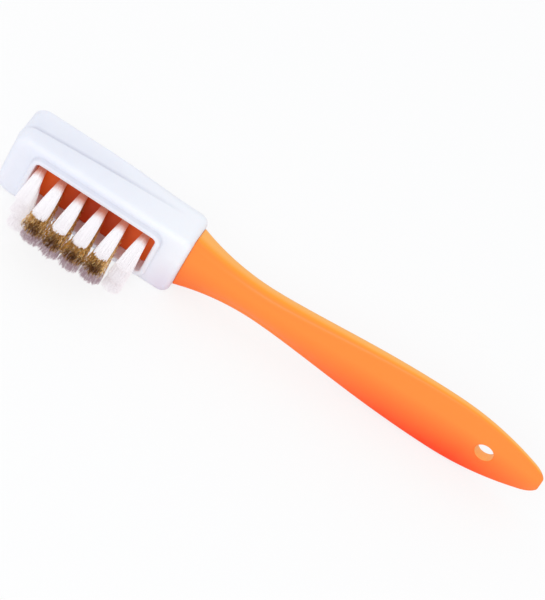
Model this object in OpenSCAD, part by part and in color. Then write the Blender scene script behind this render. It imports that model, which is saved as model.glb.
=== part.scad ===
// Suede brush: a moulded handle whose head carries eighteen tufts, with a
// white rubber boot pulled over the head. The brush lies on its side.
// X runs along the handle, the bristles point to -Y and +Z is up.

/* [Overall] */
// Length from the front of the boot to the end of the handle
overall_len = 190; // [175:1:220]
// Width of the handle where it is widest
handle_w = 24; // [20:0.5:28]

/* [Tufts] */
// Distance between neighbouring tufts along the head
tuft_pitch = 7.45; // [6.8:0.05:9]
// Distance between neighbouring rows across the head
row_pitch = 4.8; // [4.6:0.1:6]
// Diameter of the hole that a tuft is pressed into
tuft_hole_d = 2.6; // [2.4:0.1:3]
// Depth of the hole that a tuft is pressed into
tuft_hole_depth = 6.3; // [5:0.1:7]
// Height of a nylon tuft above the plate
nylon_reach = 21.8; // [14:0.1:24]
// Height of a brass tuft above the plate
brass_reach = 23.8; // [14:0.1:25]
// How much lower the tufts at both ends of the head are trimmed
trim_drop = 1.8; // [0:0.1:3]
// Gap between the tips of neighbouring tufts
tip_gap = 0.5; // [0.2:0.1:1.5]
// How far the tips of an outer row lean outward
row_lean = 0.5; // [0.4:0.1:1.5]
// Strands in each tuft
strands = 24; // [12:1:24]

/* [Anchors] */
// Length of the metal anchor that holds a tuft
anchor_len = 3.3; // [3.2:0.1:3.8]
// Height of the metal anchor
anchor_h = 1.7; // [1:0.1:2.2]
// Thickness of the metal anchor
anchor_t = 0.35; // [0.2:0.05:0.5]

/* [Head plate] */
// Thickness of the plate that the tufts stand in
plate_t = 9.2; // [8.5:0.1:11]
// How far the plate reaches under the rim of the window on each side
plate_hold = 1.8; // [1.4:0.1:3]
// Radius of the plate's front corners
plate_corner_r = 3; // [1:0.5:5]

/* [Rubber boot] */
// Thickness of the side walls
side_wall = 2.4; // [2:0.1:3.6]
// Thickness of the front wall
front_wall = 4; // [3:0.5:6]
// Thickness over the back of the plate
back_wall = 4.7; // [3.5:0.1:6]
// Thickness round the window, without the raised lip
face_wall = 3.6; // [2.6:0.1:4]
// Distance from the front of the boot to the window
window_front = 10.2; // [9.5:0.1:14]
// Distance from the window to the rear of the boot
window_rear = 10.2; // [8:0.1:14]
// Gap between the first tufts and the front of the window
window_front_gap = 1.9; // [1.8:0.1:4]
// Gap between the last tufts and the rear of the window
window_rear_gap = 3.6; // [2.8:0.1:5]
// Gap between the outer rows and the sides of the window
window_side_gap = 3; // [2.8:0.1:4]
// Height of the raised lip round the window
lip_h = 2; // [1:0.1:2.6]
// Width of the raised lip round the window
lip_w = 1.8; // [1.4:0.1:2.2]
// Depth of the ledge below the wedge block
ledge_in = 0.9; // [0.4:0.1:1.2]
// How far the front slopes back from the wedge block to the window's side
front_slope = 1.2; // [0:0.1:2]
// Rounding of the back edges at the front of the boot
back_round_front = 1.5; // [1:0.1:2]
// Rounding of the back edges at the rear of the boot
back_round_rear = 5.2; // [4:0.1:6]

/* [Cleaning nubs] */
// Height of the rubber nubs on the back
nub_h = 1.6; // [1:0.1:2.5]
// Diameter of a nub at its foot
nub_d = 2.2; // [1.6:0.1:2.4]
// Distance between the nubs
nub_pitch = 3.4; // [3:0.1:4]

/* [Handle] */
// How far the handle stands out beside the plate, behind the boot
root_side = 0.4; // [0.3:0.1:1]
// How far the handle stands out over the plate's faces, behind the boot
root_rise = 1.1; // [0.8:0.1:1.5]
// Width of the neck
neck_w = 12.8; // [10:0.1:16]
// Thickness of the neck
neck_t = 8.4; // [7:0.1:10]
// Distance from the boot to the neck
neck_at = 26; // [20:1:34]
// Distance from the end of the handle to where it is widest
widest_at = 34.5; // [30:0.5:42]
// Width across the blunt end
end_w = 11.8; // [10:0.2:14]
// Thickness at the blunt end
end_t = 3; // [2.8:0.1:5]
// Rounding of the blunt end
nose_r = 4.4; // [2:0.1:5]
// Height of the crown across the two broad faces
face_crown = 1; // [0:0.1:1.2]
// Diameter of the hanging hole
hang_hole_d = 6.2; // [4:0.1:8]
// Width of the bevel round the hanging hole
hang_hole_bevel = 0.4; // [0.2:0.1:0.6]
// Distance from the end of the handle to the centre of the hanging hole
hang_hole_at = 19.5; // [14:0.5:26]

/* [Fits] */
// Clearance between the plate and the boot
boot_fit = 0.1; // [0.05:0.05:0.3]
// Clearance round a tuft in its hole
tuft_fit = 0.05; // [0.03:0.01:0.1]
// Clearance round an anchor
anchor_fit = 0.05; // [0.03:0.01:0.1]

/* [Hidden] */
columns = 6;
rows = 3;
brass_row = 1;
facets = 32;
anchor_foot = 0.8;
plate_sunk = 0.3;
nub_rows = 4;
nub_columns = 14;
nub_sunk = 0.3;

plate_face = plate_t / 2;
row_half = row_pitch * (rows - 1) / 2;
window_w = 2 * (row_half + window_side_gap);
plate_edge_r = plate_hold - 0.4;
window_len = tuft_pitch * (columns - 1) + window_front_gap + window_rear_gap;
window_end = window_front + window_len;
first_tuft = window_front + window_front_gap;
plate_w = window_w + 2 * plate_hold;
boot_w = plate_w + 2 * (side_wall + boot_fit);
boot_half = boot_w / 2;
boot_len = window_end + window_rear;
boot_back = plate_t / 2 + back_wall;
boot_face = plate_face + face_wall;
lip_face = boot_face + lip_h;
handle_start = boot_len + boot_fit;
root_w = plate_w + 2 * root_side;
root_t = plate_t + 2 * root_rise;
tip_spread_x = (tuft_pitch - tip_gap) / 2;
tip_spread_z = (row_pitch + row_lean - tip_gap) / 2;

function is_brass(row, col) = row == brass_row && col > 0 && col < columns - 1;
function from_middle(col) = (col - (columns - 1) / 2) / ((columns - 1) / 2);
function trim(col) = trim_drop * pow(from_middle(col), 2);
function reach(row, col) = (is_brass(row, col) ? brass_reach : nylon_reach) - trim(col);
function tuft_x(col) = first_tuft + col * tuft_pitch;
function tuft_z(row) = row_half - row * row_pitch;
function tuft_name(row, col) =
    str(is_brass(row, col) ? "brass" : "nylon", "_tuft_row", row + 1, "_", col + 1);

tufts = [for (row = [0:rows - 1]) for (col = [0:columns - 1]) [row, col]];
longest = max([for (t = tufts) reach(t[0], t[1])]);
rest_half = max(boot_w, handle_w) / 2;
mid_y = (plate_face + longest - boot_back - nub_h) / 2;

// Smooth step from 0 to 1
function ease(t) = t <= 0 ? 0 : t >= 1 ? 1 : t * t * (3 - 2 * t);
function mix(a, b, t) = a + (b - a) * t;
function mean(points) = [for (axis = [0:2]) [for (p = points) p[axis]] * [for (p = points) 1] / len(points)];

// Two triangles for each side between ring r and the next
function side_faces(r, n) = [
    for (i = [0:n - 1])
        let (a = r * n + i, b = r * n + (i + 1) % n)
        each [[a, b, a + n], [b, b + n, a + n]]
];

// A closed skin over rings of equally many points, capped at both ends
module skin(rings) {
    n = len(rings[0]);
    last = len(rings) - 1;
    first_mid = n * len(rings);
    points = concat([for (ring = rings) each ring], [mean(rings[0]), mean(rings[last])]);
    faces = concat(
        [for (r = [0:last - 1]) each side_faces(r, n)],
        [for (i = [0:n - 1]) [(i + 1) % n, i, first_mid]],
        [for (i = [0:n - 1]) [last * n + i, last * n + (i + 1) % n, first_mid + 1]]
    );
    polyhedron(points = points, faces = faces, convexity = 10);
}

// Rectangle with four rounded corners, centred
module rounded_rectangle(width, height, r) {
    square([width - 2 * r, height], center = true);
    square([width, height - 2 * r], center = true);
    for (x = [-1, 1])
        for (y = [-1, 1])
            translate([x * (width / 2 - r), y * (height / 2 - r)])
                circle(r = r, $fn = facets);
}

// The head's plate from its front to x1, grown by fit on every side: its long
// edges and its front corners are rounded
module head_plate(x1, fit) {
    x0 = front_wall + boot_fit - fit;
    width = plate_w + 2 * fit;
    thick = plate_t + 2 * fit;
    corner_r = plate_corner_r + fit;
    intersection() {
        translate([x0, 0, 0])
            rotate([90, 0, 90])
                linear_extrude(height = x1 - x0)
                    rounded_rectangle(thick, width, plate_edge_r + fit);
        translate([x0 + x1 / 2, 0, 0])
            rotate([90, 0, 0])
                linear_extrude(height = thick + 1, center = true)
                    rounded_rectangle(x1, width, corner_r);
    }
}

// Widths, thicknesses and sections of the handle
widest_x = overall_len - widest_at;
neck_x = handle_start + neck_at;
nose_x = overall_len - nose_r;
edge_share = 0.62;
root_edge_share = 0.28;

function swell(t) = (1 - cos(180 * pow(t, 0.8))) / 2;
function to_root(x) = pow(max(0, neck_x - x) / neck_at, 2);
function half_width(x) =
    x < neck_x ? mix(neck_w, root_w, to_root(x)) / 2 :
    x < widest_x ? mix(neck_w, handle_w, swell((x - neck_x) / (widest_x - neck_x))) / 2 :
    mix(handle_w, end_w, pow((x - widest_x) / (nose_x - widest_x), 2)) / 2;
function half_thick(x) =
    x < neck_x ? mix(neck_t, root_t, to_root(x)) / 2 :
    mix(neck_t, end_t, pow(min(1, (x - neck_x) / (nose_x - neck_x)), 1.3)) / 2;
function edge_round(x) = half_thick(x) * mix(edge_share, root_edge_share, to_root(x));

// Rounded section at x, drawn in by inset: the edges are arcs, the faces crowned
function handle_section(x, inset) =
    let (
        body_x = min(x, nose_x),
        a = half_width(body_x) - inset,
        b = half_thick(body_x) * (1 - 0.6 * inset / nose_r),
        crown = min(face_crown, b / 3),
        r = min(edge_round(body_x), 0.85 * (b - crown)),
        flat = a - r
    )
    [
        for (quarter = [0:3])
            let (
                sz = quarter == 0 || quarter == 3 ? 1 : -1,
                sy = quarter < 2 ? 1 : -1,
                corner = [for (k = [0:4]) let (t = 22.5 * k)
                    [flat + r * cos(t), b - crown - r + r * sin(t)]],
                face = [for (k = [2:-1:1]) let (f = k / 3)
                    [flat * f, b - crown * f * f]],
                run = concat([[a, 0]], corner, face, [[0, b]]),
                ordered = sz * sy > 0 ? run : [for (k = [len(run) - 1:-1:0]) run[k]]
            )
            each [for (k = [0:len(ordered) - 2]) [x, sy * ordered[k][1], sz * ordered[k][0]]]
    ];

body_steps = 34;
nose_steps = 5;
nose_turn = 80;
handle_rings = concat(
    [for (k = [0:body_steps]) handle_section(mix(handle_start, nose_x, k / body_steps), 0)],
    [for (k = [1:nose_steps]) let (t = nose_turn * k / nose_steps)
        handle_section(nose_x + nose_r * sin(t) / sin(nose_turn), nose_r * (1 - cos(t)))]
);

module tuft_hole(row, col) {
    translate([tuft_x(col), -plate_face, tuft_z(row)])
        rotate([90, 0, 0])
            translate([0, 0, -tuft_hole_depth])
                cylinder(d = tuft_hole_d, h = tuft_hole_depth + 1, $fn = facets);
}

// Slot left by an anchor, from the face of the plate down to its foot
module anchor_slot(row, col) {
    slot_h = tuft_hole_depth - anchor_foot + anchor_fit;
    translate([tuft_x(col), slot_h / 2 - plate_face, tuft_z(row)])
        cube([anchor_len + 2 * anchor_fit, slot_h, anchor_t + 2 * anchor_fit], center = true);
}

module tuft_anchor(row, col) {
    translate([tuft_x(col), tuft_hole_depth - anchor_foot - anchor_h / 2 - plate_face, tuft_z(row)])
        cube([anchor_len, anchor_h, anchor_t], center = true);
}

// Bore of the hanging hole, with the cones that bevel its two rims
module hanging_hole() {
    x = overall_len - hang_hole_at;
    rim = half_thick(x) - hang_hole_bevel;
    translate([x, 0, 0])
        rotate([90, 0, 0]) {
            cylinder(d = hang_hole_d, h = root_t, center = true, $fn = facets);
            for (side = [0, 180])
                rotate([side, 0, 0])
                    translate([0, 0, rim])
                        cylinder(d1 = hang_hole_d, d2 = hang_hole_d + 4 * hang_hole_bevel,
                            h = 2 * hang_hole_bevel, $fn = facets);
        }
}

module handle() {
    color([1, 0.45, 0.1])
        difference() {
            union() {
                skin(handle_rings);
                head_plate(handle_start + plate_sunk, 0);
            }
            for (t = tufts) {
                tuft_hole(t[0], t[1]);
                anchor_slot(t[0], t[1]);
            }
            hanging_hole();
        }
}

// Outline of a rectangle with rounded corners as x and z, the same count each time
side_steps = 12;
corner_steps = 6;
function corner_arc(cx, cz, r, from) =
    [for (k = [0:corner_steps]) let (t = from - 90 * k / corner_steps) [cx + r * cos(t), cz + r * sin(t)]];
function side_run(x0, x1, z) = [for (k = [1:side_steps - 1]) [mix(x0, x1, k / side_steps), z]];
function outline(x0, x1, half, r_front, r_rear) = concat(
    side_run(x0 + r_front, x1 - r_rear, half),
    corner_arc(x1 - r_rear, half - r_rear, r_rear, 90),
    corner_arc(x1 - r_rear, r_rear - half, r_rear, 0),
    side_run(x1 - r_rear, x0 + r_front, -half),
    corner_arc(x0 + r_front, r_front - half, r_front, 270),
    corner_arc(x0 + r_front, half - r_front, r_front, 180)
);

boot_corner_front = 4.5;
boot_corner_rear = 3;
crease_front = 1.6;
crease_rear = -2.1;
crease_end = 0.85;
wedge_end = 0.45;
front_ledge = 0.3;
boot_outline = outline(0, boot_len, boot_half, boot_corner_front, boot_corner_rear);

// The ledge runs toward the back as it goes to the rear, and the wedge block
// above it melts into the rounded back there
function crease(x) = mix(crease_rear, crease_front, pow(1 - min(1, x / (crease_end * boot_len)), 1.5));
function melted(x) = ease((x / boot_len - wedge_end) / wedge_end);
function ledge(x) = ledge_in * (1 - melted(x));
function back_round(x) = mix(back_round_front, back_round_rear, melted(x));

// One ring of the boot: depth toward the bristles and inset from the side at
// each x, with the insets of the front and the rear wall
function boot_ring(depths, insets, front_in, rear_in) = [
    for (i = [0:len(boot_outline) - 1])
        let (x = boot_outline[i][0], z = boot_outline[i][1], s = x / boot_len)
        [x + front_in * (1 - s) - rear_in * s, -depths[i], z * (1 - insets[i] / boot_half)]
];
xs = [for (p = boot_outline) p[0]];

function back_ring(t) = boot_ring(
    [for (x = xs) back_round(x) * (1 - cos(t)) - boot_back],
    [for (x = xs) ledge(x) + back_round(x) * (1 - sin(t))],
    front_ledge + back_round_front * (1 - sin(t)),
    back_round_rear / 2 * (1 - sin(t))
);
function sloped(depth) = front_slope * max(0, depth - crease_front) / (boot_face - crease_front);
// Share of the ledge left and depth below the crease for each ring of the shoulder
function shoulder_ring(share, below) = boot_ring(
    [for (x = xs) crease(x) + below],
    [for (x = xs) share * ledge(x)],
    share * front_ledge + sloped(crease_front + below),
    0
);
edge_round_face = min(1.9, boot_half - window_w / 2 - lip_w - 0.6);
function face_edge_ring(t) = boot_ring(
    [for (x = xs) boot_face - edge_round_face * (1 - sin(t))],
    [for (x = xs) edge_round_face * (1 - cos(t))],
    edge_round_face * (1 - cos(t)) + sloped(boot_face - edge_round_face * (1 - sin(t))),
    edge_round_face * (1 - cos(t))
);
lip_corner_r = 3.2;
function lip_ring(grow, depth) = [
    for (p = outline(window_front - grow, window_end + grow, window_w / 2 + grow,
            lip_corner_r - lip_w + grow, lip_corner_r - lip_w + grow))
        [p[0], -depth, p[1]]
];
lip_round = 0.5;
boot_rings = concat(
    [for (t = [0:22.5:90]) back_ring(t)],
    [
        shoulder_ring(1, -0.25),
        shoulder_ring(1.3, 0),
        shoulder_ring(0.75, 0.15),
        shoulder_ring(0.3, 0.5),
        shoulder_ring(0, 1.3)
    ],
    [for (t = [0:30:90]) face_edge_ring(t)],
    [
        lip_ring(lip_w + 0.3, boot_face),
        lip_ring(lip_w, boot_face + 0.3),
        lip_ring(lip_w, lip_face - lip_round),
        lip_ring(lip_w - 0.3 * lip_round, lip_face - 0.3 * lip_round),
        lip_ring(lip_w - lip_round, lip_face),
        lip_ring(lip_round, lip_face),
        lip_ring(0.3 * lip_round, lip_face - 0.3 * lip_round),
        lip_ring(0, lip_face - lip_round),
        lip_ring(0, plate_face - 1)
    ]
);

module nub() {
    rotate([-90, 0, 0])
        cylinder(d1 = nub_d, d2 = nub_d / 2, h = nub_h + nub_sunk, $fn = 16);
}

module rubber_boot() {
    color([0.95, 0.96, 1])
        difference() {
            union() {
                skin(boot_rings);
                for (col = [0:nub_columns - 1])
                    for (row = [0:nub_rows - 1])
                        translate([
                            boot_len / 2 + (col - (nub_columns - 1) / 2) * nub_pitch,
                            boot_back - nub_sunk,
                            (row - (nub_rows - 1) / 2) * nub_pitch
                        ])
                            nub();
            }
            head_plate(boot_len + 1, boot_fit);
        }
}

module tuft_anchors() {
    color([0.75, 0.75, 0.78])
        for (t = tufts)
            tuft_anchor(t[0], t[1]);
}

// Strands stand in a sunflower pattern, which packs a round root evenly
golden = 137.508;
strand_r_root = 0.15;
strand_r_tip = 0.24;
root_sunk = 0.6;
mid_share = 0.45;
mid_spread = 0.24;

function seed_spot(i) = let (r = sqrt((i + 0.5) / strands), t = golden * i) [r * cos(t), r * sin(t)];
function strand_ring(centre, r) = [for (k = [0:2]) centre + r * [cos(120 * k), 0, sin(120 * k)]];

function strand_points(i, row, col, cut) =
    let (
        spot = seed_spot(i),
        root_r = tuft_hole_d / 2 - tuft_fit - strand_r_root * 1.5,
        top = reach(row, col) - cut,
        lean = row_lean * (1 - row),
        at = [tuft_x(col), -plate_face, tuft_z(row)],
        root = at + [spot[0] * root_r, root_sunk, spot[1] * root_r],
        spread = [tip_spread_x - strand_r_tip, tip_spread_z - strand_r_tip],
        mid = at + [
            spot[0] * mix(root_r, spread[0], mid_spread),
            -mid_share * top,
            spot[1] * mix(root_r, spread[1], mid_spread) + lean * mid_spread
        ],
        tip = at + [spot[0] * spread[0], -top, spot[1] * spread[1] + lean]
    )
    concat(strand_ring(root, strand_r_root), strand_ring(mid, mix(strand_r_root, strand_r_tip, mid_share)),
        strand_ring(tip, strand_r_tip));

function strand_faces(i) =
    let (o = 9 * i)
    [
        for (level = [0:1])
            for (k = [0:2])
                let (a = o + 3 * level + k, b = o + 3 * level + (k + 1) % 3)
                each [[a, a + 3, b], [b, a + 3, b + 3]],
        [o, o + 1, o + 2],
        [o + 8, o + 7, o + 6]
    ];

module bristles(row, col) {
    cuts = rands(0, 0.5, strands, row * columns + col + 1);
    polyhedron(
        points = [for (i = [0:strands - 1]) each strand_points(i, row, col, i == 0 ? 0 : cuts[i])],
        faces = [for (i = [0:strands - 1]) each strand_faces(i)],
        convexity = 10
    );
}

// Folded root of a tuft, with the passage for its anchor
module tuft_root(row, col) {
    difference() {
        translate([tuft_x(col), tuft_hole_depth - plate_face - tuft_fit, tuft_z(row)])
            rotate([90, 0, 0])
                cylinder(r = tuft_hole_d / 2 - tuft_fit, h = tuft_hole_depth - tuft_fit, $fn = facets);
        translate([tuft_x(col), tuft_hole_depth - anchor_foot - anchor_h / 2 - plate_face, tuft_z(row)])
            cube([tuft_hole_d + 1, anchor_h + 2 * anchor_fit, anchor_t + 2 * anchor_fit], center = true);
    }
}

module tuft(row, col) {
    color(is_brass(row, col) ? [0.65, 0.5, 0.25] : [0.95, 0.95, 0.95])
        union() {
            tuft_root(row, col);
            bristles(row, col);
        }
}

// Sets the brush down on its side, centred on the origin
module placed() {
    translate([-overall_len / 2, mid_y, rest_half])
        children();
}

placed() handle();
placed() rubber_boot();
placed() tuft_anchors();
for (t = tufts)
    placed() tuft(t[0], t[1]);
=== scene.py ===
# Suede brush lying on its side on a pale floor
import math
import random

import bmesh
import bpy
from mathutils import Matrix, Vector


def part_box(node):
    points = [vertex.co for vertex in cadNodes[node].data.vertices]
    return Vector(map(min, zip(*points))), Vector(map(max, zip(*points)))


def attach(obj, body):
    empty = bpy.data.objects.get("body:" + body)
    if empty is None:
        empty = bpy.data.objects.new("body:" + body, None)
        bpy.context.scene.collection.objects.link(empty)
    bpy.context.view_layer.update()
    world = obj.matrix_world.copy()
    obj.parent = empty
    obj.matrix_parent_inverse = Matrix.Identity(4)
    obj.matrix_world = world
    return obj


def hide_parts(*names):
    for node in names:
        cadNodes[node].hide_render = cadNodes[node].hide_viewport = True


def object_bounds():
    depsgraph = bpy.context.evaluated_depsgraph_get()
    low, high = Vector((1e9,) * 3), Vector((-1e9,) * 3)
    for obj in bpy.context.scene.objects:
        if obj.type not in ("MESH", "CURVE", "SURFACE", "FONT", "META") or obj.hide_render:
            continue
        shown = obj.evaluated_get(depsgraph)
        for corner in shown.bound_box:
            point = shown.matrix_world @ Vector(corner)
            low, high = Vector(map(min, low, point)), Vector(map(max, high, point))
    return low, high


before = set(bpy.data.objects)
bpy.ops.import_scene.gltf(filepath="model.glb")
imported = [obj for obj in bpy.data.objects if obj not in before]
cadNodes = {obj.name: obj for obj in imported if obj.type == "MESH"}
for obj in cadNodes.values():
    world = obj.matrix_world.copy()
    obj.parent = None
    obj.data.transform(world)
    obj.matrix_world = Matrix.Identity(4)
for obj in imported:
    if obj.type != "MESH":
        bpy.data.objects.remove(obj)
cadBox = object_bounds()
mm = 0.001
print("frame loaded:", len(cadNodes), "nodes")

# The brush's own axes, in millimetres: x from the front of the boot, depth toward
# the bristles, side across the head, upward as it lies
handleLow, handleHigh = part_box("handle")
brushLength = 190.0
brushFront = cadBox[1].x - brushLength * mm
axisY = (handleLow.y + handleHigh.y) / 2
axisZ = (handleLow.z + handleHigh.z) / 2


def spot(x, depth, side):
    return Vector((brushFront + x * mm, axisY - depth * mm, axisZ + side * mm))


def fromSpot(point):
    # x, depth and side of a point of a mesh
    return (point.x - brushFront) / mm, (axisY - point.y) / mm, (point.z - axisZ) / mm


def mix(a, b, share):
    return a + (b - a) * share


def ease(share):
    share = min(1, max(0, share))
    return share * share * (3 - 2 * share)


def quarterTurn(steps):
    return [math.radians(90 * k / steps) for k in range(steps + 1)]


def fullTurn(steps):
    return [math.tau * k / steps for k in range(steps)]


# Modelling

mergeDistance = 0.002 * mm
pointsAlong = 0.99  # from this on, an edge's direction counts as along an axis


def deselectAll():
    bpy.ops.object.select_all(action="DESELECT")


def activate(piece):
    deselectAll()
    piece.select_set(True)
    bpy.context.view_layer.objects.active = piece


def editMode():
    bpy.ops.object.mode_set(mode="EDIT")


def objectMode():
    bpy.ops.object.mode_set(mode="OBJECT")


def placeRing(piece, ring, points):
    net = bmesh.from_edit_mesh(piece.data)
    net.verts.ensure_lookup_table()
    for index, point in zip(ring, points):
        net.verts[index].co = point
    bmesh.update_edit_mesh(piece.data)


def selectRing(piece, ring):
    bpy.ops.mesh.select_all(action="DESELECT")
    net = bmesh.from_edit_mesh(piece.data)
    net.verts.ensure_lookup_table()
    for index in ring:
        net.verts[index].select = True
    net.select_flush(True)
    bmesh.update_edit_mesh(piece.data)


def nextRing(piece, ring):
    # the vertices that an extrude has just made, in the order of the old ring
    net = bmesh.from_edit_mesh(piece.data)
    net.verts.index_update()
    net.verts.ensure_lookup_table()
    made = []
    for index in ring:
        old = net.verts[index]
        across = [edge.other_vert(old) for edge in old.link_edges]
        made.append(next(vertex.index for vertex in across if vertex.select))
    return made


def extrudeThrough(name, rings):
    # one ring of edges extruded from each list of points to the next, closed at both ends
    deselectAll()
    bpy.ops.mesh.primitive_circle_add(vertices=len(rings[0]), radius=1)
    piece = bpy.context.active_object
    piece.name = name
    editMode()
    bpy.ops.mesh.select_mode(type="VERT")
    bpy.ops.mesh.select_all(action="SELECT")
    first = list(range(len(rings[0])))
    placeRing(piece, first, rings[0])
    ring = first
    for points in rings[1:]:
        bpy.ops.mesh.extrude_edges_move()
        ring = nextRing(piece, ring)
        placeRing(piece, ring, points)
    bpy.ops.mesh.edge_face_add()
    selectRing(piece, first)
    bpy.ops.mesh.edge_face_add()
    bpy.ops.mesh.select_all(action="SELECT")
    bpy.ops.mesh.normals_make_consistent(inside=False)
    objectMode()
    return piece


def combine(piece, tool, operation):
    # an exact boolean, after which the tool is gone and the mesh is cleaned
    modifier = piece.modifiers.new("combine", "BOOLEAN")
    modifier.operation = operation
    modifier.solver = "EXACT"
    modifier.object = tool
    activate(piece)
    bpy.ops.object.modifier_apply(modifier=modifier.name)
    bpy.data.objects.remove(tool)
    editMode()
    bpy.ops.mesh.select_all(action="SELECT")
    bpy.ops.mesh.remove_doubles(threshold=mergeDistance)
    bpy.ops.mesh.dissolve_degenerate(threshold=mergeDistance)
    objectMode()


def joinAll(pieces, name):
    deselectAll()
    for piece in pieces:
        piece.select_set(True)
    bpy.context.view_layer.objects.active = pieces[0]
    bpy.ops.object.join()
    pieces[0].name = name
    return pieces[0]


def copyOf(piece, shift):
    twin = bpy.data.objects.new(piece.name + "_copy", piece.data.copy())
    twin.data.transform(Matrix.Translation(shift))
    bpy.context.scene.collection.objects.link(twin)
    return twin


def smooth(piece, angle):
    activate(piece)
    bpy.ops.object.shade_smooth_by_angle(angle=math.radians(angle))


def settle(piece, *replaced, slot, material):
    # the origin goes to the world's, and the piece stands for its CAD nodes
    activate(piece)
    bpy.ops.object.transform_apply(location=True, rotation=True, scale=True)
    piece.data.materials.clear()
    piece.data.materials.append(material)
    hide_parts(*replaced)
    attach(piece, "root")
    print("made", piece.name, len(piece.data.polygons), "faces")


# Materials

class Wire:
    # an output socket that Python's operators act on
    def __init__(self, socket):
        self.socket = socket

    def calculate(self, operation, first, second):
        tree = self.socket.id_data
        node = tree.nodes.new("ShaderNodeMath")
        node.operation = operation
        feed(tree, node.inputs[0], first)
        feed(tree, node.inputs[1], second)
        return Wire(node.outputs[0])

    def __add__(self, other):
        return self.calculate("ADD", self, other)

    def __radd__(self, other):
        return self.calculate("ADD", other, self)

    def __sub__(self, other):
        return self.calculate("SUBTRACT", self, other)

    def __rsub__(self, other):
        return self.calculate("SUBTRACT", other, self)

    def __mul__(self, other):
        return self.calculate("MULTIPLY", self, other)

    def __rmul__(self, other):
        return self.calculate("MULTIPLY", other, self)

    def __truediv__(self, other):
        return self.calculate("DIVIDE", self, other)

    def __rtruediv__(self, other):
        return self.calculate("DIVIDE", other, self)


def feed(tree, socket, value):
    if isinstance(value, Wire):
        tree.links.new(value.socket, socket)
    else:
        socket.default_value = value


def inputOf(node, key):
    # i2 is the third input; any other key is an input's name with _ for its spaces
    if key[0] == "i" and key[1:].isdigit():
        return node.inputs[int(key[1:])]
    return node.inputs[key.replace("_", " ")]


class Nodes:
    # a node tree whose nodes, apart from those for sums, all come from add
    def __init__(self, tree):
        self.tree = tree

    def add(self, kind, settings=None, output=0, **inputs):
        node = self.tree.nodes.new("ShaderNode" + kind)
        for key, value in (settings or {}).items():
            if key == "stops":
                self.setStops(node.color_ramp, value)
            else:
                setattr(node, key, value)
        for key, value in inputs.items():
            feed(self.tree, inputOf(node, key), value)
        return Wire(node.outputs[output])

    def setStops(self, ramp, stops):
        for extra in stops[2:]:
            ramp.elements.new(extra[0])
        for element, (place, level) in zip(ramp.elements, sorted(stops)):
            element.position = place
            element.color = (level, level, level, 1)

    def rays(self, kind):
        return self.add("LightPath", output="Is " + kind + " Ray")

    def show(self, surface):
        ends = [node for node in self.tree.nodes if node.type.startswith("OUTPUT_")]
        feed(self.tree, ends[0].inputs["Surface"], surface)


class Finish(Nodes):
    # a material around a Principled BSDF
    def __init__(self, name, **constants):
        self.material = bpy.data.materials.new(name)
        self.material.use_nodes = True
        super().__init__(self.material.node_tree)
        self.shader = self.tree.nodes["Principled BSDF"]
        self.set(**constants)

    def set(self, **values):
        for key, value in values.items():
            feed(self.tree, inputOf(self.shader, key), value)
        return self.material

    def place(self):
        return self.add("TexCoord", output="Object")

    def axis(self, letter):
        return self.add("SeparateXYZ", output=letter, Vector=self.place())

    def attribute(self, name):
        return self.add("Attribute", {"attribute_name": name}, output="Fac")

    def noise(self, scale, detail, roughness, distortion=0, vector=None):
        return self.add("TexNoise", Vector=vector or self.place(), Scale=scale, Detail=detail,
                        Roughness=roughness, Distortion=distortion)

    def ramp(self, value, stops):
        return self.add("ValToRGB", {"stops": stops}, Fac=value)

    def blend(self, share, first, second):
        return self.add("Mix", {"data_type": "RGBA"}, output=2, i0=share, i6=first, i7=second)

    def bump(self, height, distance, strength, normal=None):
        inputs = {"Height": height, "Distance": distance, "Strength": strength}
        if normal:
            inputs["Normal"] = normal
        return self.add("Bump", **inputs)

    def mixWith(self, share, other):
        return self.add("MixShader", i0=share, i1=Wire(self.shader.outputs[0]), i2=other)


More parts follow.
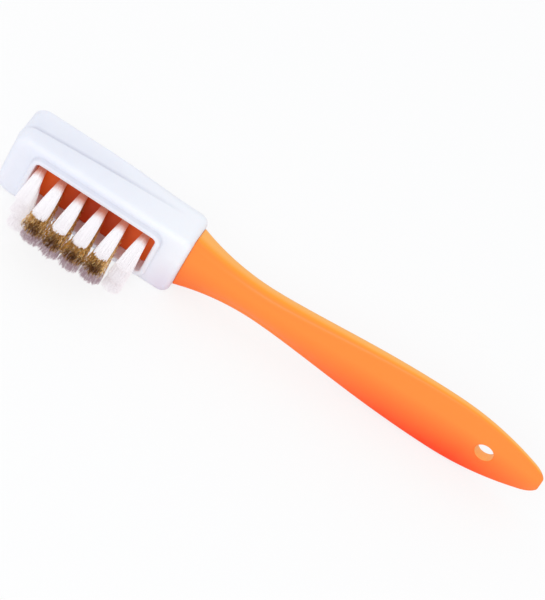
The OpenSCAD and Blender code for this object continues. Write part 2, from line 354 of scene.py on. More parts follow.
def orangePlastic():
    look = {
        # pale and golden are a painted highlight and painted sheen on the handle's upper edge
        "pale": (1.0, 0.45, 0.1, 1),
        "golden": (1.0, 0.35, 0.02, 1),
        "middle": (1.0, 0.27, 0.035, 1),
        # deep is painted shade on the lower side
        "deep": (1.0, 0.06, 0.003, 1),
        # the hole's wall colour is a painted glow
        "holeWall": (1.0, 0.48, 0.13, 1),
        # the plate's deeper red is painted shade in the window's recess, and its darker mix is more
        # painted shade between the tufts
        "plate": (1.0, 0.16, 0.016, 1),
        "shadedPlate": (0.62, 0.055, 0.004, 1),
        # each noise: scale, detail, roughness and, where it has one, distortion
        "flow": (28, 4, 0.55, 0.6), "grain": (2600, 2, 0.5), "waves": (90, 2, 0.4),
        "scuffs": (2340, 2, 0.6), "scuffStretch": (0.12, 1, 1), "scuffStops": ((0.62, 0), (0.74, 1)),
        "grainDepth": 0.02, "grainStrength": 0.5, "waveDepth": 0.4, "waveStrength": 0.12,
        "roughness": 0.3, "flowRoughness": 0.1, "scuffRoughness": 0.08,
        # across the handle: a painted highlight on the upper edge, and painted shade in red below
        "litEdgeStops": ((0.84, 0), (0.94, 1)), "litEdgeWander": 0.06,
        "lowerStops": ((0.3, 0), (0.93, 1)), "lowerLeast": 0.85, "lowerFlow": 0.3,
        # through its thickness: where the painted highlight ends, and where a paler painted sheen
        # lies
        "faceStops": ((0.6, 1), (0.78, 0)),
        "paleSheenStops": ((0.38, 0), (0.56, 1)), "bodySheen": 0.07, "bodyStops": ((0.5, 0), (0.65, 1)),
        # along the brush: how red the painted shade makes the lower side, the head, and the painted
        # shade on the plate between the tufts
        "broadStops": ((0.34, 0.5), (0.42, 0.25), (0.5, 0.2), (0.72, 0.9), (0.86, 1), (1, 0.35)),
        "headStops": ((0.325, 1), (0.334, 0)),
        "plateShadeStops": ((0.07, 0), (0.13, 0.8), (0.17, 1), (0.21, 0.8), (0.27, 0)),
        "plateShadeLeast": 0.8, "plateShadeFlow": 0.4,
    }
    made = Finish("orangePlastic", IOR=1.48, Specular_IOR_Level=0.35)
    flow = made.noise(*look["flow"])
    grain = made.noise(*look["grain"])
    waves = made.noise(*look["waves"])
    stretched = made.add("Mapping", Vector=made.place(), Scale=look["scuffStretch"])
    scuffed = made.ramp(made.noise(*look["scuffs"], vector=stretched), look["scuffStops"])
    along = (made.axis("X") - brushFront) / (brushLength * mm)
    across = made.attribute("acrossHandle")
    through = made.attribute("throughHandle")
    # painted highlight along the upper edge, paled further by a painted sheen
    edge = made.ramp(across + (flow - 0.5) * look["litEdgeWander"], look["litEdgeStops"])
    edge = edge * made.ramp(through, look["faceStops"])
    onBody = made.ramp(along, look["bodyStops"])
    paleSheen = made.ramp(1 - through + onBody * look["bodySheen"], look["paleSheenStops"])
    # painted shade: the lower side turns redder, most along the broad body
    shadeBelow = made.ramp(1 - across, look["lowerStops"]) * made.ramp(along, look["broadStops"])
    shadeBelow = shadeBelow * (look["lowerLeast"] + flow * look["lowerFlow"])
    plateShade = made.ramp(along, look["plateShadeStops"]) * (look["plateShadeLeast"] + flow * look["plateShadeFlow"])
    colour = made.blend(edge, look["middle"], look["golden"])
    colour = made.blend(edge * paleSheen, colour, look["pale"])
    colour = made.blend(shadeBelow, colour, look["deep"])
    # painted glow on the hanging hole's wall
    colour = made.blend(made.attribute("holeWall"), colour, look["holeWall"])
    # painted shade on the plate in the window's recess
    plate = made.blend(plateShade, look["plate"], look["shadedPlate"])
    colour = made.blend(made.ramp(along, look["headStops"]), colour, plate)
    normal = made.bump(grain, look["grainDepth"] * mm, look["grainStrength"])
    normal = made.bump(waves, look["waveDepth"] * mm, look["waveStrength"], normal)
    rough = look["roughness"] + flow * look["flowRoughness"] + scuffed * look["scuffRoughness"]
    return made.set(Base_Color=colour, Roughness=rough, Normal=normal)


def whiteRubber():
    look = {
        "white": (0.87, 0.885, 0.965, 1),
        "cloudy": (0.83, 0.84, 0.925, 1),
        "litWhite": (0.905, 0.915, 0.965, 1),
        "lilac": (0.76, 0.69, 0.8, 1),
        "paintedShadeGrey": (0.64, 0.65, 0.74, 1),
        "cloud": (60, 4, 0.6, 0.4), "pores": (3200, 2, 0.5), "soft": (220, 3, 0.5),
        "cloudStops": ((0.35, 0), (0.75, 1)),
        "poreDepth": 0.03, "poreStrength": 0.4, "softDepth": 0.3, "softStrength": 0.1,
        "roughness": 0.46, "cloudRoughness": 0.16,
        "shadeLeast": 0.75, "shadePatch": 0.5,
        # along the boot, painted light whitens it toward the handle; a lilac painted shade lies at
        # its lower rear corner
        "litWhiteStops": ((0.45, 0), (0.95, 1)),
        "cornerShadeAlong": ((0.83, 0), (0.95, 1)), "cornerShadeAcross": ((0, 1), (0.2, 0.75), (0.62, 0)),
    }
    made = Finish("whiteRubber", IOR=1.5, Subsurface_Weight=0.12, Subsurface_Scale=0.002,
                  Subsurface_Radius=(1.0, 0.8, 0.7))
    cloud = made.noise(*look["cloud"])
    pores = made.noise(*look["pores"])
    soft = made.noise(*look["soft"])
    low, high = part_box("rubber_boot")
    along = (made.axis("X") - low.x) / (high.x - low.x)
    across = (made.axis("Z") - low.z) / (high.z - low.z)
    # lilac painted shade at the boot's lower rear corner
    cornerShade = made.ramp(along, look["cornerShadeAlong"]) * made.ramp(across, look["cornerShadeAcross"])
    # painted shade in the crease and at the foot of the lip
    creaseLipShaded = made.attribute("creaseGrime") * (look["shadeLeast"] + soft * look["shadePatch"])
    colour = made.blend(made.ramp(cloud, look["cloudStops"]), look["white"], look["cloudy"])
    # painted light: the boot whitens toward the handle
    colour = made.blend(made.ramp(along, look["litWhiteStops"]), colour, look["litWhite"])
    colour = made.blend(cornerShade, colour, look["lilac"])
    colour = made.blend(creaseLipShaded, colour, look["paintedShadeGrey"])
    normal = made.bump(pores, look["poreDepth"] * mm, look["poreStrength"])
    normal = made.bump(soft, look["softDepth"] * mm, look["softStrength"], normal)
    rough = look["roughness"] + cloud * look["cloudRoughness"]
    return made.set(Base_Color=colour, Roughness=rough, Normal=normal)


def nylonFilament():
    look = {
        # root is painted shade with a painted orange glow from the plate
        "root": (0.72, 0.3, 0.21, 1),
        "white": (0.98, 0.97, 0.98, 1),
        "tip": (0.46, 0.33, 0.37, 1),
        "mottle": (900, 3, 0.6), "mottled": 0.3,
        # along a strand: where it leaves the painted shade and painted orange glow at its root, and
        # where its tip is worn, with painted shade on the far rows
        "seatedStops": ((0.31, 0), (0.46, 1)), "wornStops": ((0.72, 0), (1, 1)),
        "roughness": 0.3, "toneRoughness": 0.15,
        "throughLight": 0.4,
        # the emission is a painted glow standing in for light scattered among the filaments
        "scatterGlow": 0.15,
    }
    made = Finish("nylonFilament", IOR=1.53, Emission_Strength=look["scatterGlow"])
    along = made.attribute("alongStrand")
    tone = made.attribute("strandTone")
    mottle = made.noise(*look["mottle"])
    # the tip colour is wear, with painted shade on the far rows
    wornAndShaded = made.ramp(along + (mottle - 0.5) * look["mottled"], look["wornStops"]) * tone
    # painted shade and a painted orange glow from the plate at each strand's root
    seated = made.ramp(along, look["seatedStops"])
    colour = made.blend(seated, look["root"], look["white"])
    colour = made.blend(wornAndShaded, colour, look["tip"])
    rough = look["roughness"] + tone * look["toneRoughness"]
    made.set(Base_Color=colour, Roughness=rough, Emission_Color=colour)
    through = made.add("BsdfTranslucent", Color=look["white"])
    made.show(made.mixWith(seated * (1 - wornAndShaded) * look["throughLight"], through))
    return made.material


def brassWire():
    look = {
        "brass": (1.0, 0.74, 0.36, 1),
        "tarnishedAndShaded": (0.22, 0.09, 0.03, 1),
        "mottle": (1400, 3, 0.6), "mottled": 0.5, "toned": 0.4, "atEnds": 0.25,
        "endStops": ((0.88, 0), (1, 1)), "dullStops": ((0.44, 0), (0.68, 1)),
        "metallic": 0.95, "dullMetallic": 0.25,
        "roughness": 0.25, "dullRoughness": 0.25, "tipPolish": 0.05,
    }
    made = Finish("brassWire")
    along = made.attribute("alongStrand")
    tone = made.attribute("strandTone")
    mottle = made.noise(*look["mottle"])
    ends = made.ramp(along, look["endStops"])
    # random tarnish, painted shade on the inner strands, and darker toward the cut ends
    tarnishAndShade = mottle * look["mottled"] + tone * look["toned"] + ends * look["atEnds"]
    tarnishAndShade = made.ramp(tarnishAndShade, look["dullStops"])
    return made.set(
        Base_Color=made.blend(tarnishAndShade, look["brass"], look["tarnishedAndShaded"]),
        Metallic=look["metallic"] - tarnishAndShade * look["dullMetallic"],
        Roughness=look["roughness"] + tarnishAndShade * look["dullRoughness"] - along * look["tipPolish"],
    )


def platedSteel():
    look = {
        "dark": (0.62, 0.62, 0.64, 1),
        "light": (0.75, 0.75, 0.77, 1),
        "streaks": (5000, 3, 0.6), "streakStretch": (0.2, 1, 1),
        "roughness": 0.28, "streakRoughness": 0.15,
    }
    made = Finish("platedSteel", Metallic=1.0)
    stretched = made.add("Mapping", Vector=made.place(), Scale=look["streakStretch"])
    streaks = made.noise(*look["streaks"], vector=stretched)
    return made.set(
        Base_Color=made.blend(streaks, look["dark"], look["light"]),
        Roughness=look["roughness"] + streaks * look["streakRoughness"],
    )


orange = orangePlastic()
rubber = whiteRubber()
nylon = nylonFilament()
brass = brassWire()
steel = platedSteel()
print("materials made")


# Head: the plate that the tufts stand in, and their roots, read off the frame

head = {
    "plateThick": 9.2, "plateHold": 1.8, "plateEdge": 1.4, "plateCorner": 3.0, "bevelSteps": 8,
    "windowFront": 10.2, "windowEnd": 52.95, "windowHalf": 7.8,
    "bootLength": 63.15, "frontWall": 4.0, "fit": 0.1,
    "tuftHole": 2.6, "tuftHoleDepth": 6.3, "tuftHoleSides": 24,
    "rootZone": 4.0,
}
bootLength = head["bootLength"]
plateY = axisY - head["plateThick"] / 2 * mm
tuftNodes = sorted(n for n in cadNodes if "_tuft_" in n)


def tuftPlace(name):
    # centre and radius of the root, and the box of the whole tuft, from the CAD tuft
    low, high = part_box(name)
    points = [vertex.co for vertex in cadNodes[name].data.vertices]
    deep = [point for point in points if point.y > high.y - head["rootZone"] * mm]
    lowX, highX = min(p.x for p in deep), max(p.x for p in deep)
    lowZ, highZ = min(p.z for p in deep), max(p.z for p in deep)
    root = Vector(((lowX + highX) / 2, high.y, (lowZ + highZ) / 2))
    return root, (highX - lowX) / 2, low, high


def plateSlab(name, x1, grow):
    # the flat plate inside the head: a box with rounded long edges and front corners
    x0 = head["frontWall"] + head["fit"] - grow
    half = head["windowHalf"] + head["plateHold"] + grow
    thick = head["plateThick"] / 2 + grow
    low = spot(x0, thick, -half)
    high = spot(x1, -thick, half)
    deselectAll()
    bpy.ops.mesh.primitive_cube_add(size=1, location=(low + high) / 2, scale=high - low)
    slab = bpy.context.active_object
    slab.name = name
    bpy.ops.object.transform_apply(location=True, rotation=True, scale=True)
    editMode()
    bpy.ops.mesh.select_mode(type="EDGE")
    frontOnly = low.x + mm
    for axis, reach, width in ((1, frontOnly, head["plateCorner"]), (0, None, head["plateEdge"])):
        bpy.ops.mesh.select_all(action="DESELECT")
        net = bmesh.from_edit_mesh(slab.data)
        for edge in net.edges:
            along = (edge.verts[1].co - edge.verts[0].co).normalized()
            near = reach is None or max(v.co.x for v in edge.verts) < reach
            edge.select = abs(along[axis]) > pointsAlong and near
        bmesh.update_edit_mesh(slab.data)
        bpy.ops.mesh.bevel(offset=(width + grow) * mm, segments=head["bevelSteps"], profile=0.5)
    objectMode()
    return slab


# Handle

handle = {
    "rootWidth": 20.0, "rootThick": 11.4,
    "neckWidth": 12.8, "neckThick": 8.4, "neckAt": 26.0,
    "widest": 24.0, "widestAt": 34.5, "swellEarly": 0.8,
    "endWidth": 11.8, "endThick": 3.0, "thinPower": 1.3,
    "noseRound": 4.4, "noseTurn": 80, "noseTaper": 0.5, "noseThin": 0.6,
    "crown": 1.0, "crownSteps": 6,
    "edgeShare": 0.62, "rootEdgeShare": 0.28, "edgeMost": 0.85, "edgeSteps": 8,
    "hole": 6.2, "holeAt": 19.5, "holeSides": 64, "holeRim": 0.55, "rimSteps": 6, "holeOver": 2.0,
    "plateOverlap": 0.3, "drillOver": 1.0,
    "stations": 92, "noseStations": 10,
    "wallReach": 0.05, "sharpAngle": 32,
}
handleStart = bootLength + head["fit"]
neckX = handleStart + handle["neckAt"]
widestX = brushLength - handle["widestAt"]
noseX = brushLength - handle["noseRound"]
holeX = brushLength - handle["holeAt"]


def toRoot(x):
    return (max(0, neckX - x) / handle["neckAt"]) ** 2


def halfWidth(x):
    if x < neckX:
        return mix(handle["neckWidth"], handle["rootWidth"], toRoot(x)) / 2
    if x < widestX:
        share = (x - neckX) / (widestX - neckX)
        swell = (1 - math.cos(math.pi * share ** handle["swellEarly"])) / 2
        return mix(handle["neckWidth"], handle["widest"], swell) / 2
    return mix(handle["widest"], handle["endWidth"], ((x - widestX) / (noseX - widestX)) ** 2) / 2


def halfThick(x):
    if x < neckX:
        return mix(handle["neckThick"], handle["rootThick"], toRoot(x)) / 2
    share = min(1, (x - neckX) / (noseX - neckX))
    return mix(handle["neckThick"], handle["endThick"], share ** handle["thinPower"]) / 2


def handleSection(x, inset):
    # rounded rectangle with crowned broad faces; the width's taper goes on to the tip
    bodyX = min(x, noseX)
    a = halfWidth(x) - handle["noseTaper"] * inset
    b = halfThick(bodyX) * (1 - handle["noseThin"] * inset / handle["noseRound"])
    crown = min(handle["crown"], b / 3)
    share = mix(handle["edgeShare"], handle["rootEdgeShare"], toRoot(bodyX))
    r = min(share * halfThick(bodyX), handle["edgeMost"] * (b - crown))
    flat, steps = a - r, handle["crownSteps"]
    run = [(a, 0)]
    run += [(flat + r * math.cos(t), b - crown - r + r * math.sin(t))
            for t in quarterTurn(handle["edgeSteps"])]
    run += [(flat * f, b - crown * f * f) for f in (k / steps for k in range(steps - 1, 0, -1))]
    run += [(0, b)]
    points = []
    for quarter in range(4):
        sideSign = 1 if quarter in (0, 3) else -1
        depthSign = -1 if quarter < 2 else 1
        ordered = run if quarter in (0, 2) else run[::-1]
        points += [spot(x, depthSign * depth, sideSign * side) for side, depth in ordered[:-1]]
    return points


def tuftHoles():
    over = handle["drillOver"] * mm
    depth = head["tuftHoleDepth"] * mm + over
    drills = []
    for name in tuftNodes:
        root = tuftPlace(name)[0]
        deselectAll()
        bpy.ops.mesh.primitive_cylinder_add(
            vertices=head["tuftHoleSides"], radius=head["tuftHole"] / 2 * mm, depth=depth,
            location=(root.x, plateY + depth / 2 - over, root.z), rotation=(math.pi / 2, 0, 0))
        drills.append(bpy.context.active_object)
    drill = joinAll(drills, "drills")
    bpy.ops.object.transform_apply(location=True, rotation=True, scale=True)
    return drill


def hangingHole():
    # a pin whose two ends flare, so that what it cuts has rounded rims
    radius, rim, over = handle["hole"] / 2, handle["holeRim"], handle["holeOver"]
    wall = halfThick(holeX)
    profile = [(wall + over, radius + rim + over)]
    profile += [(wall - rim * (1 - math.cos(t)), radius + rim * (1 - math.sin(t)))
                for t in quarterTurn(handle["rimSteps"])]
    profile += [(-depth, r) for depth, r in reversed(profile)]
    turns = fullTurn(handle["holeSides"])
    return extrudeThrough("hole_pin", [
        [spot(holeX + r * math.cos(t), depth, r * math.sin(t)) for t in turns]
        for depth, r in profile])


def shareHandle(body):
    # each point's share of the width and of the thickness, which the colour and its painted highlight
    # and shade follow, and whether it lies on the hole's wall, which gets a painted glow
    across = body.data.attributes.new("acrossHandle", "FLOAT", "POINT")
    through = body.data.attributes.new("throughHandle", "FLOAT", "POINT")
    holed = body.data.attributes.new("holeWall", "FLOAT", "POINT")
    for vertex in body.data.vertices:
        x, depth, side = fromSpot(vertex.co)
        x = min(noseX, max(handleStart, x))
        across.data[vertex.index].value = 0.5 + side / (2 * halfWidth(x))
        through.data[vertex.index].value = 0.5 + depth / (2 * halfThick(x))
        fromHole = math.hypot(x - holeX, side) - handle["hole"] / 2
        holed.data[vertex.index].value = 1 if fromHole < handle["wallReach"] else 0


def modelHandle():
    stations, noseStations = handle["stations"], handle["noseStations"]
    rings = [handleSection(mix(handleStart, noseX, k / stations), 0) for k in range(stations + 1)]
    for k in range(1, noseStations + 1):
        turn = math.radians(handle["noseTurn"] * k / noseStations)
        reach = math.sin(turn) / math.sin(math.radians(handle["noseTurn"]))
        rings.append(handleSection(noseX + handle["noseRound"] * reach,
                                   handle["noseRound"] * (1 - math.cos(turn))))
    body = extrudeThrough("handle_body", rings)
    combine(body, plateSlab("plate", handleStart + handle["plateOverlap"], 0), "UNION")
    combine(body, tuftHoles(), "DIFFERENCE")
    combine(body, hangingHole(), "DIFFERENCE")
    shareHandle(body)
    smooth(body, handle["sharpAngle"])
    settle(body, "handle", slot="handle_plastic", material=orange)


modelHandle()


# Rubber boot

boot = {
    "half": 12.1, "back": 9.3, "face": 8.2, "faceRound": 1.9,
    "lipHeight": 2.0, "lipWidth": 1.8, "lipRound": 0.6, "lipCorner": 3.2,
    "ledge": 0.9, "frontLedge": 0.3, "frontGap": 0.2, "frontSlope": 1.2,
    "creaseFront": 1.6, "creaseRear": -2.1, "creaseEnd": 0.85, "creaseCurve": 1.5, "wedgeEnd": 0.45,
    "backRoundFront": 1.5, "backRoundRear": 5.2,
    "cornerFront": 4.5, "cornerRear": 3.0,
    # rings from the wedge down through the crease: share of the ledge, depth from the crease
    "shoulder": ((1, -1.9), (1.04, -1.4), (1.16, -1), (1.36, -0.6), (1.55, -0.25), (1.62, 0),
                 (1.45, 0.14), (1.1, 0.2), (0.72, 0.25), (0.4, 0.34), (0.18, 0.5), (0.05, 0.75),
                 (0, 1.1)),
    # rings from the face up into the lip: distance out from the lip, height over the face
    "lipFoot": ((0.52, 0), (0.36, 0.03), (0.21, 0.1), (0.1, 0.22), (0.03, 0.4), (0, 0.62)),
    "sideSteps": 44, "cornerSteps": 10, "backSteps": 10, "faceSteps": 9, "lipSteps": 6,
    "windowSunk": 1.0, "cavityOver": 1.0,
    "sharpAngle": 35,
}
# painted shade along the crease and at the foot of the lip
creaseLipShading = {
    "crease": 0.7, "creaseAbove": (0.1, 0.5), "creaseWidth": (0.7, 1.2), "creaseFrom": 4.0,
    "lip": 0.5, "lipWidth": 0.4, "lipLow": -1.0, "lipRise": 8.0, "faceMargin": 0.2,
}
nub = {
    "height": 1.6, "width": 2.2, "pitch": 3.4, "rows": 4, "columns": 14, "sides": 20,
    "foot": ((-0.4, 0.35), (0, 0.3), (0.08, 0.12)),  # height, and what the radius gains
    "waist": (0.3, 0.92),  # height, and share of the radius
    # distance below the top, and share of the radius
    "top": ((0.4, 0.62), (0.15, 0.52), (0.03, 0.36), (0, 0.16)),
}


def bootOutline(x0, x1, half, rFront, rRear):
    steps, turns = boot["sideSteps"], boot["cornerSteps"]

    def run(a, b, side):
        return [(mix(a, b, k / steps), side) for k in range(1, steps)]

    def arc(x, side, r, start):
        angles = [math.radians(start - 90 * k / turns) for k in range(turns + 1)]
        return [(x + r * math.cos(t), side + r * math.sin(t)) for t in angles]

    return (run(x0 + rFront, x1 - rRear, half)
            + arc(x1 - rRear, half - rRear, rRear, 90)
            + arc(x1 - rRear, rRear - half, rRear, 0)
            + run(x1 - rRear, x0 + rFront, -half)
            + arc(x0 + rFront, rFront - half, rFront, 270)
            + arc(x0 + rFront, half - rFront, rFront, 180))


def crease(x):
    # depth of the crease, which climbs along the side
    share = 1 - min(1, x / (boot["creaseEnd"] * bootLength))
    return mix(boot["creaseRear"], boot["creaseFront"], share ** boot["creaseCurve"])


def melted(x):
    # how far the wedge has melted into the body
    return ease((x / bootLength - boot["wedgeEnd"]) / boot["wedgeEnd"])


def ledge(x):
    return boot["ledge"] * (1 - melted(x))


def backRound(x):
    return mix(boot["backRoundFront"], boot["backRoundRear"], melted(x))


def sloped(depth):
    # how far the front leans back at a depth below the crease
    below = max(0, depth - boot["creaseFront"])
    return boot["frontSlope"] * below / (boot["face"] - boot["creaseFront"])


def bootRing(depthAt, insetAt, frontIn, rearIn):
    outline = bootOutline(0, bootLength, boot["half"], boot["cornerFront"], boot["cornerRear"])
    points = []
    for x, side in outline:
        share = x / bootLength
        points.append(spot(x + frontIn * (1 - share) - rearIn * share, depthAt(x),
                           side * (1 - insetAt(x) / boot["half"])))
    return points


def backRing(turn):
    away, rise = 1 - math.sin(turn), 1 - math.cos(turn)
    return bootRing(lambda x: backRound(x) * rise - boot["back"],
                    lambda x: ledge(x) + backRound(x) * away,
                    boot["frontLedge"] + boot["backRoundFront"] * away,
                    boot["backRoundRear"] / 2 * away)


def shoulderRing(share, below):
    leaning = share * boot["frontLedge"] + sloped(boot["creaseFront"] + below)
    return bootRing(lambda x: crease(x) + below, lambda x: share * ledge(x),
                    max(boot["frontGap"], leaning), 0)


def faceRing(turn):
    inset = boot["faceRound"] * (1 - math.cos(turn))
    depth = boot["face"] - boot["faceRound"] * (1 - math.sin(turn))
    return bootRing(lambda x: depth, lambda x: inset, inset + sloped(depth), inset)


def lipRing(grow, depth):
    # a ring that lies a distance out from the window's edge
    r = boot["lipCorner"] - boot["lipWidth"] + grow
    outline = bootOutline(head["windowFront"] - grow, head["windowEnd"] + grow,
                          head["windowHalf"] + grow, r, r)
    return [spot(x, depth, side) for x, side in outline]


def lipRings():
    # up the foot, over the rounded lip and down into the window
    lip, lipRound = boot["lipWidth"], boot["lipRound"]
    lipFace = boot["face"] + boot["lipHeight"]
    rings = [lipRing(lip + out, boot["face"] + up) for out, up in boot["lipFoot"]]
    bends = [(lipRound * (1 - math.cos(t)), lipRound * (1 - math.sin(t)))
             for t in quarterTurn(boot["lipSteps"])]
    rings += [lipRing(lip - away, lipFace - down) for away, down in bends]
    rings += [lipRing(away, lipFace - down) for away, down in reversed(bends)]
    rings.append(lipRing(0, head["plateThick"] / 2 - boot["windowSunk"]))
    return rings


def fromLip(x, side):
    # distance on the face from the foot of the lip
    r, lip = boot["lipCorner"], boot["lipWidth"]
    middleX = (head["windowFront"] + head["windowEnd"]) / 2
    dx = abs(x - middleX) - (head["windowEnd"] - middleX + lip - r)
    dz = abs(side) - (head["windowHalf"] + lip - r)
    return math.hypot(max(dx, 0), max(dz, 0)) + min(max(dx, dz), 0) - r


def shadeCreaseAndLip(body):
    # painted shade in the crease and at the foot of the lip
    creaseLipShaded = body.data.attributes.new("creaseGrime", "FLOAT", "POINT")
    for vertex in body.data.vertices:
        x, depth, side = fromSpot(vertex.co)
        stepped = 1 - melted(x)
        above, width = mix(*creaseLipShading["creaseAbove"], stepped), mix(*creaseLipShading["creaseWidth"], stepped)
        fromCrease = (depth - crease(x) + above) / width
        atCrease = creaseLipShading["crease"] * math.exp(-fromCrease ** 2) * math.sqrt(stepped)
        atCrease *= ease(x / creaseLipShading["creaseFrom"])
        atLip = creaseLipShading["lip"] * math.exp(-(fromLip(x, side) / creaseLipShading["lipWidth"]) ** 2)
        atLip *= ease((side - creaseLipShading["lipLow"]) / creaseLipShading["lipRise"])
        if depth < boot["face"] - creaseLipShading["faceMargin"]:
            atLip = 0
        creaseLipShaded.data[vertex.index].value = max(atCrease, atLip)


def bootNubs():
    # one rounded stud with a flared foot, copied over the back
    r, rise, waist = nub["width"] / 2, nub["height"], nub["waist"]
    profile = [(up, r + gain) for up, gain in nub["foot"]]
    profile += [(waist[0], r * waist[1])]
    profile += [(rise - down, r * share) for down, share in nub["top"]]
    turns = fullTurn(nub["sides"])
    stud = extrudeThrough("stud", [
        [spot(w * math.cos(t), -boot["back"] - up, w * math.sin(t)) for t in turns]
        for up, w in profile])
    studs = []
    for column in range(nub["columns"]):
        for row in range(nub["rows"]):
            x = bootLength / 2 + (column - (nub["columns"] - 1) / 2) * nub["pitch"]
            side = (row - (nub["rows"] - 1) / 2) * nub["pitch"]
            studs.append(copyOf(stud, (x * mm, 0, side * mm)))
    bpy.data.objects.remove(stud)
    return joinAll(studs, "studs")


def modelBoot():
    rings = [backRing(t) for t in quarterTurn(boot["backSteps"])]
    rings += [shoulderRing(share, below) for share, below in boot["shoulder"]]
    rings += [faceRing(t) for t in quarterTurn(boot["faceSteps"])]
    rings += lipRings()
    body = extrudeThrough("boot_body", rings)
    combine(body, bootNubs(), "UNION")
    combine(body, plateSlab("cavity", bootLength + boot["cavityOver"], head["fit"]), "DIFFERENCE")
    shadeCreaseAndLip(body)
    smooth(body, boot["sharpAngle"])
    settle(body, "rubber_boot", slot="boot_rubber", material=rubber)


modelBoot()


# Tufts

tuft = {
    "nylonStrands": 150, "nylonWidth": 0.2, "nylonSides": 5, "nylonJoints": 10,
    "brassStrands": 170, "brassWidth": 0.19, "brassSides": 4, "brassJoints": 22,
    "rootSunk": 1.5,
    "packAngle": 137.508,
    "nearFan": 0.84, "endFan": 1.08, "nylonFan": 1.25, "brassFan": 1.3,
    "nylonFanPower": 0.85, "brassFanPower": 0.9,
    "lean": (0.85, 0.35, 0.15, 0.05, -0.05, -0.15),
    "nylonScatter": 0.13, "brassScatter": 0.42,
    "crimp": 0.3, "crimpLength": 2.3, "crimpStart": 5,
    "leastCut": 0.1, "nylonCut": 0.5, "brassCut": 1.2,
    "nylonDome": 0.35, "brassDome": 0.7,
    # how much tip colour each row takes: wear, with painted light keeping the near row whitest and
    # painted shade on the far row under the brass
    "nearTone": 0.07, "endTone": 0.12, "farTone": 1.0,
    "toneSpread": 0.4, "endToneSpread": 0.75, "brassToneSpread": 0.25,
    "endColumns": (1, 6),
    "lookAhead": 0.02,
}
tuftSlots = {"nylon": "nylon", "brass": "brass_wire"}
tuftMaterials = {"nylon": nylon, "brass": brass}


def modelStrand(kind):
    # a straight filament one unit long and one unit in radius, which each copy bends
    deselectAll()
    bpy.ops.mesh.primitive_circle_add(vertices=tuft[kind + "Sides"], radius=1, fill_type="NGON")
    strand = bpy.context.active_object
    strand.name = kind + "_strand"
    editMode()
    bpy.ops.mesh.select_mode(type="FACE")
    bpy.ops.mesh.select_all(action="SELECT")
    joints = tuft[kind + "Joints"]
    for _ in range(joints):
        bpy.ops.mesh.extrude_region_move(TRANSFORM_OT_translate={"value": (0, 0, 1 / joints)})
    bpy.ops.mesh.select_all(action="SELECT")
    bpy.ops.mesh.normals_make_consistent(inside=False)
    objectMode()
    along = strand.data.attributes.new("alongStrand", "FLOAT", "POINT")
    for vertex in strand.data.vertices:
        along.data[vertex.index].value = vertex.co.z
    return strand


def strandPath(kind, seat, tip, phase, facing):
    length = seat.y - tip.y

    def path(share):
        if kind == "nylon":
            fan = ease(share ** tuft["nylonFanPower"])
        else:
            fan = share ** tuft["brassFanPower"]
        here = Vector((mix(seat.x, tip.x, fan), mix(seat.y, tip.y, share), mix(seat.z, tip.z, fan)))
        if kind == "brass":
            wave = math.sin(phase + math.tau * share * length / (tuft["crimpLength"] * mm))
            swing = tuft["crimp"] * mm * wave * min(1, share * tuft["crimpStart"])
            here += Vector((math.cos(facing), 0, math.sin(facing))) * swing
        return here

    return path


def bentCopy(strand, path, width, tone):
    twin = bpy.data.objects.new("strand", strand.data.copy())
    bpy.context.scene.collection.objects.link(twin)
    for vertex in twin.data.vertices:
        share = vertex.co.z
        here, after = path(share), path(share + tuft["lookAhead"])
        forward = (after - here).normalized()
        across = forward.cross(Vector((0, 0, 1))).normalized()
        upward = forward.cross(across)
        vertex.co = here + (across * vertex.co.x + upward * vertex.co.y) * width / 2
    toneOf = twin.data.attributes.new("strandTone", "FLOAT", "POINT")
    toneOf.data.foreach_set("value", [tone] * len(twin.data.vertices))
    return twin


def modelTuft(name, kind, strand):
    # the strands are packed in the root's circle and fan out to the box of the CAD tuft
    chance = random.Random(name)
    root, radius, low, high = tuftPlace(name)
    row, column = int(name[-3]), int(name[-1])
    width, count = tuft[kind + "Width"] * mm, tuft[kind + "Strands"]
    scatter, mostCut, dome = tuft[kind + "Scatter"], tuft[kind + "Cut"], tuft[kind + "Dome"]
    fanned, toned, toneSpread = tuft[kind + "Fan"], tuft["farTone"], tuft["toneSpread"]
    if column in tuft["endColumns"]:
        fanned, toned, toneSpread = tuft["endFan"], tuft["endTone"], tuft["endToneSpread"]
    if row == 1:
        fanned, toned = tuft["nearFan"], tuft["nearTone"]
    packed = radius - width
    tipX, tipZ = ((high.x - low.x) / 2 - width) * fanned, ((high.z - low.z) / 2 - width) * fanned
    middleX = (low.x + high.x) / 2 + tuft["lean"][column - 1] * row * mm
    middleZ = (low.z + high.z) / 2
    strands = []
    for k in range(count):
        r, turn = math.sqrt((k + 0.5) / count), math.radians(tuft["packAngle"]) * k
        u, v = r * math.cos(turn), r * math.sin(turn)
        seat = Vector((root.x + u * packed, plateY + tuft["rootSunk"] * mm, root.z + v * packed))
        cut = tuft["leastCut"] + chance.random() ** 2 * mostCut + r * r * dome
        leanX, leanZ = chance.gauss(0, scatter) * mm, chance.gauss(0, scatter) * mm
        tip = Vector((middleX + u * tipX + leanX, low.y + cut * mm, middleZ + v * tipZ + leanZ))
        phase, facing = chance.random() * math.tau, chance.random() * math.tau
        drawn = chance.random()
        if kind == "nylon":
            # the tip colour is wear and, on the far rows, painted shade
            tone = mix(toned, toned * 2 * drawn, toneSpread)
        else:
            # inner brass strands take more painted shade, with some random spread
            tone = min(1, max(0, 1 - r + chance.gauss(0, tuft["brassToneSpread"])))
        strands.append(bentCopy(strand, strandPath(kind, seat, tip, phase, facing), width, tone))
    piece = joinAll(strands, name + "_strands")
    settle(piece, name, slot=tuftSlots[kind], material=tuftMaterials[kind])


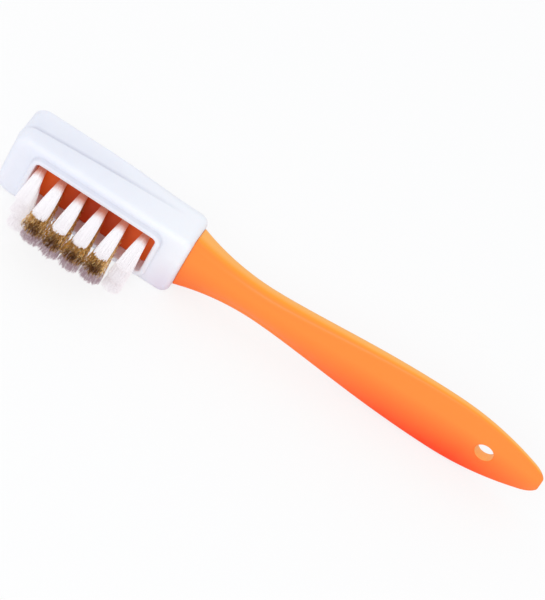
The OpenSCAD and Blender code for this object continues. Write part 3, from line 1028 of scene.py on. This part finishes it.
patterns = {kind: modelStrand(kind) for kind in tuftSlots}
for nodeName in tuftNodes:
    kind = nodeName.split("_")[0]
    modelTuft(nodeName, kind, patterns[kind])
for pattern in patterns.values():
    bpy.data.objects.remove(pattern)

anchors = cadNodes["tuft_anchors"]
anchors.data.materials.clear()
anchors.data.materials.append(steel)
print("tufts made")


# Floor, light and camera

studio = {
    "floorSize": 6, "floorColour": (0.92, 0.92, 0.93, 1), "floorRoughness": 0.6,
    "floorSeen": 0.8, "floorMirrored": 0.3,
    "white": (1, 1, 1, 1),
    "sky": (0.96, 0.98, 1, 1), "skyStrength": 0.92,
    "middle": 90,
    "lampPlace": (-0.1, -1.0, 0.75), "lampSize": 0.5, "lampPower": 2.8, "lampColour": (1, 0.99, 0.97),
}
view = {
    "azimuth": -2.39, "elevation": 45.11, "roll": 31.33,
    "distance": 1384.0, "focalPixels": 4576.0, "pictureHeight": 600,
    "aim": (91.75, 0.0, 3.81),
    "nearest": 0.05, "farthest": 20,
}


def makeFloor():
    # white where the camera sees it, and still lit and shaded by the brush
    deselectAll()
    bpy.ops.mesh.primitive_plane_add(size=studio["floorSize"])
    floor = bpy.context.active_object
    floor.name = "floor"
    made = Finish("paleFloor", Roughness=studio["floorRoughness"], Base_Color=studio["floorColour"])
    glow = made.add("Emission", Color=studio["white"], Strength=1.0)
    share = (made.rays("Camera") + made.rays("Transmission")) * studio["floorSeen"]
    share = share + made.rays("Glossy") * studio["floorMirrored"]
    made.show(made.mixWith(share, glow))
    floor.data.materials.append(made.material)


def makeWorld():
    # even light, with a white backdrop for what is seen directly or in a reflection
    world = bpy.data.worlds.new("studio")
    bpy.context.scene.world = world
    world.use_nodes = True
    made = Nodes(world.node_tree)
    sky = made.add("Background", Color=studio["sky"], Strength=studio["skyStrength"])
    white = made.add("Background", Color=studio["white"])
    seen = made.rays("Camera") + made.rays("Glossy") + made.rays("Transmission")
    made.show(made.add("MixShader", i0=seen, i1=sky, i2=white))


def makeLamp():
    light = bpy.data.lights.new("key", "AREA")
    light.shape = "DISK"
    light.size = studio["lampSize"]
    light.energy = studio["lampPower"]
    light.color = studio["lampColour"]
    lamp = bpy.data.objects.new("key", light)
    offset = Vector(studio["lampPlace"])
    lamp.location = spot(studio["middle"], 0, 0) + offset
    lamp.rotation_euler = (-offset).to_track_quat("-Z", "Y").to_euler()
    bpy.context.scene.collection.objects.link(lamp)


def makeCamera():
    azimuth, elevation, roll = (math.radians(view[key]) for key in ("azimuth", "elevation", "roll"))
    level = Vector((math.cos(azimuth), -math.sin(azimuth), 0))
    forward = Vector((math.sin(azimuth), math.cos(azimuth), 0)) * math.cos(elevation)
    forward.z = -math.sin(elevation)
    upright = level.cross(forward)
    right = level * math.cos(roll) + upright * math.sin(roll)
    up = upright * math.cos(roll) - level * math.sin(roll)
    camera = bpy.data.objects.new("camera", bpy.data.cameras.new("camera"))
    bpy.context.scene.collection.objects.link(camera)
    turn = Matrix((right, up, -forward)).transposed().to_4x4()
    place = spot(*view["aim"]) - forward * view["distance"] * mm
    camera.matrix_world = Matrix.Translation(place) @ turn
    camera.data.lens = view["focalPixels"] * camera.data.sensor_width / view["pictureHeight"]
    camera.data.clip_start, camera.data.clip_end = view["nearest"], view["farthest"]
    bpy.context.scene.camera = camera


makeCamera()
makeFloor()
makeWorld()
makeLamp()
bpy.context.scene.view_settings.view_transform = "Standard"
print("floor, light and camera made")
